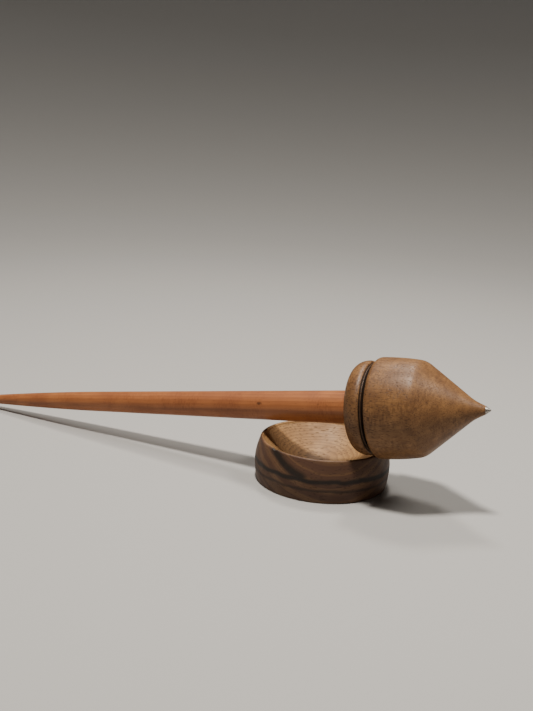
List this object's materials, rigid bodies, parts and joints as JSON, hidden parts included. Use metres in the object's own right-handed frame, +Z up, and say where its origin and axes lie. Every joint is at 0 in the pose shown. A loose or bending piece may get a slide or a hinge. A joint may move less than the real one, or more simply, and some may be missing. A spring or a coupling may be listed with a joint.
{
  "type": "supported spindle with spinning bowl",
  "caption": "Hand spindle with a tapered wooden shaft, a turned whorl with a domed collar and a steel point, lying across the rim of its small turned bowl.",
  "frame": {"origin": "centre of the bowl's flat base, on the surface that the bowl and the shaft's tip rest on", "axes": "+X level, along the lying spindle towards its point; +Y level, across the spindle; +Z up, out of the bowl"},
  "size_m": [0.2847, 0.0622, 0.0646],
  "materials": {
    "bowl_wood": "oiled, satin, dark striped walnut",
    "shaft_wood": "fine-grained reddish fruitwood, oiled and smooth",
    "whorl_wood": "oiled walnut with a soft sheen",
    "collar_wood": "oiled figured walnut with a soft sheen",
    "point_steel": "turned and polished"
  },
  "bodies": {
    "bowl": {"bowl": "bowl_wood"},
    "point": {"steel_point": "point_steel"},
    "spindle": {"shaft": "shaft_wood", "whorl": "whorl_wood", "collar_ring": "collar_wood"}
  },
  "joints": [
    {"name": "spindle_lift", "type": "slide", "parent": "bowl", "child": "point", "axis": [0, 0, 1], "range_m": [0, 0.08]},
    {"name": "spindle_spin", "type": "hinge", "parent": "point", "child": "spindle", "pos_m": [0.07545, -0.0032, 0.04865], "axis": [0.9862, 0, 0.1657], "continuous": true}
  ]
}
